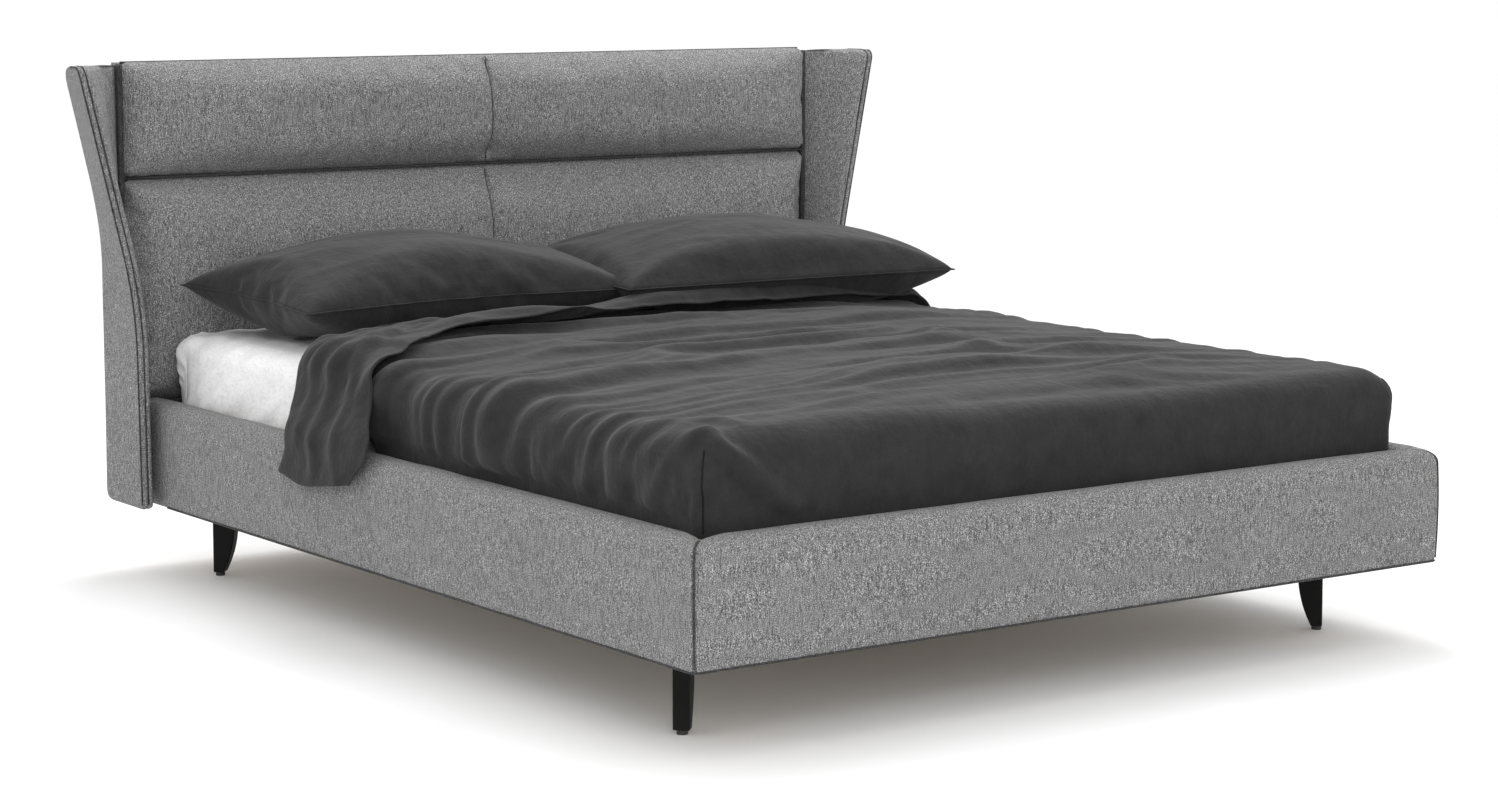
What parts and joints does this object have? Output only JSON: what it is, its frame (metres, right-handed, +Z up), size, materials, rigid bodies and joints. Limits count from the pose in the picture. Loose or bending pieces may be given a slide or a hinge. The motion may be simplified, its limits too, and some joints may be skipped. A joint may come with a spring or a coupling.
{
  "type": "upholstered bed",
  "caption": "Low upholstered double bed with padded headboard between outward-leaning wings, slim tapered legs, slatted base, mattress, duvet and pillows.",
  "frame": {"origin": "on the floor, at the centre of the bed's overall length and width", "axes": "+X to the right seen from the foot end, +Y from the foot towards the headboard, +Z up"},
  "size_m": [2.0836, 2.186, 1.1],
  "materials": {
    "upholstery": "melange woven",
    "plywood": "sanded",
    "pine": "planed",
    "birch_slat": "clear lacquer",
    "black_plastic": "moulded",
    "black_leg": "satin",
    "black_steel": "powder coat",
    "zinc_screw": "zinc plated",
    "ticking": "knitted",
    "white_cotton": "percale",
    "charcoal_linen": "washed cotton"
  },
  "bodies": {
    "frame": {"beam_bracket_screws": "zinc_screw", "centre_beam": "pine", "centre_beam_brackets": "black_steel", "centre_slat_holders": "black_plastic", "centre_support_glides": "black_plastic", "centre_support_legs": "black_steel", "corner_bracket_screws": "zinc_screw", "corner_brackets": "black_steel", "foot_rail_core": "plywood", "foot_rail_cover": "upholstery", "front_left_leg": "black_leg", "front_right_leg": "black_leg", "head_cross_rail": "plywood", "headboard_back_cover": "upholstery", "headboard_core": "plywood", "headboard_lower_cushion": "upholstery", "headboard_upper_cushion": "upholstery", "left_ledger": "pine", "left_rail_core": "plywood", "left_rail_cover": "upholstery", "left_slat_holders": "black_plastic", "left_slats": "birch_slat", "left_wing_board": "plywood", "left_wing_cover": "upholstery", "leg_corner_boards": "plywood", "leg_glides": "black_plastic", "leg_mounting_plates": "black_steel", "leg_plate_screws": "zinc_screw", "lower_cushion_board": "plywood", "rear_left_leg": "black_leg", "rear_right_leg": "black_leg", "right_ledger": "pine", "right_rail_core": "plywood", "right_rail_cover": "upholstery", "right_slat_holders": "black_plastic", "right_slats": "birch_slat", "right_wing_board": "plywood", "right_wing_cover": "upholstery", "upper_cushion_board": "plywood", "wing_dowels": "pine"},
    "mattress": {"mattress": "ticking", "fitted_sheet": "white_cotton"},
    "duvet": {"duvet": "charcoal_linen"},
    "pillow_left": {"pillow_left": "charcoal_linen"},
    "pillow_right": {"pillow_right": "charcoal_linen"}
  },
  "joints": [
    {"name": "mattress_lift", "type": "slide", "parent": "frame", "child": "mattress", "axis": [0, 0, 1], "range_m": [0, 0.85]},
    {"name": "duvet_lift", "type": "slide", "parent": "mattress", "child": "duvet", "axis": [0, 0, 1], "range_m": [0, 0.85]},
    {"name": "pillow_left_lift", "type": "slide", "parent": "duvet", "child": "pillow_left", "axis": [0, 0, 1], "range_m": [0, 0.65]},
    {"name": "pillow_right_lift", "type": "slide", "parent": "duvet", "child": "pillow_right", "axis": [0, 0, 1], "range_m": [0, 0.65]}
  ]
}
